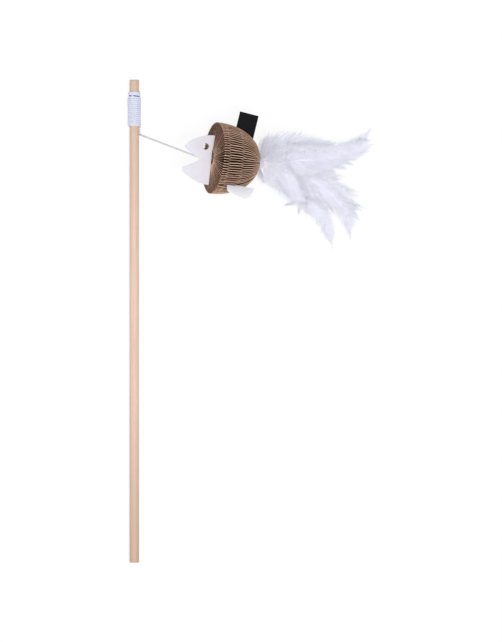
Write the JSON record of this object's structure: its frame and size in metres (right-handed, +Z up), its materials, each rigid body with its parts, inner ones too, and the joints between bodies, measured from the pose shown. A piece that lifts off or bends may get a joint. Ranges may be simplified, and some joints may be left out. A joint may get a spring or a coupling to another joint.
{
  "type": "cat teaser wand",
  "caption": "Wooden cat teaser wand with a cord wound on its tip that holds a honeycomb-paper fish with a white head, fin and feather tail.",
  "frame": {"origin": "on the table, under the middle of the box round the dowel, its winding and the fish", "axes": "+Y along the dowel to its wound tip, +X across the table to the fish's tail, +Z up from the table"},
  "size_m": [0.2028, 0.4, 0.0595],
  "materials": {
    "dowel_wood": "bare sanded beech",
    "white_cord": "round braided cord",
    "kraft_card": "uncoated kraft card",
    "kraft_paper": "uncoated kraft paper",
    "white_felt": "pressed felt",
    "black_ribbon": "woven ribbon",
    "glue": "set glue",
    "white_feather": "downy feather"
  },
  "bodies": {
    "wand": {"rod": "dowel_wood", "cord_winding": "white_cord", "cord_lead": "white_cord"},
    "bend": {"exit_bend": "white_cord"},
    "line": {"cord": "white_cord"},
    "mouth": {"mouth_bend": "white_cord"},
    "fish": {"inner_cord": "white_cord", "end_knot": "white_cord", "core_tube": "kraft_card", "paper_body": "kraft_paper", "cover_near": "kraft_card", "cover_far": "kraft_card", "head": "white_felt", "fin": "white_felt", "tag": "black_ribbon", "glue_plug": "glue", "feather_upper": "white_feather", "feather_middle": "white_feather", "feather_outer": "white_feather", "feather_inner": "white_feather", "feather_short": "white_feather"}
  },
  "joints": [
    {"name": "cord_lift", "type": "hinge", "parent": "wand", "child": "bend", "pos_m": [-0.0914, 0.15458, 0.0037], "axis": [0, -1, 0], "range_deg": [-60, 45]},
    {"name": "cord_swing", "type": "hinge", "parent": "bend", "child": "line", "pos_m": [-0.0914, 0.15458, 0.0037], "axis": [-0.5288, 0, 0.8487], "range_deg": [-20, 20]},
    {"name": "fish_spin", "type": "hinge", "parent": "line", "child": "mouth", "pos_m": [-0.04324, 0.13613, 0.0337], "axis": [0.8071, -0.3093, 0.5029], "range_deg": [-180, 180]},
    {"name": "fish_nod", "type": "hinge", "parent": "mouth", "child": "fish", "pos_m": [-0.04324, 0.13613, 0.0337], "axis": [-0.3578, -0.9338, 0], "range_deg": [-20, 20]}
  ]
}
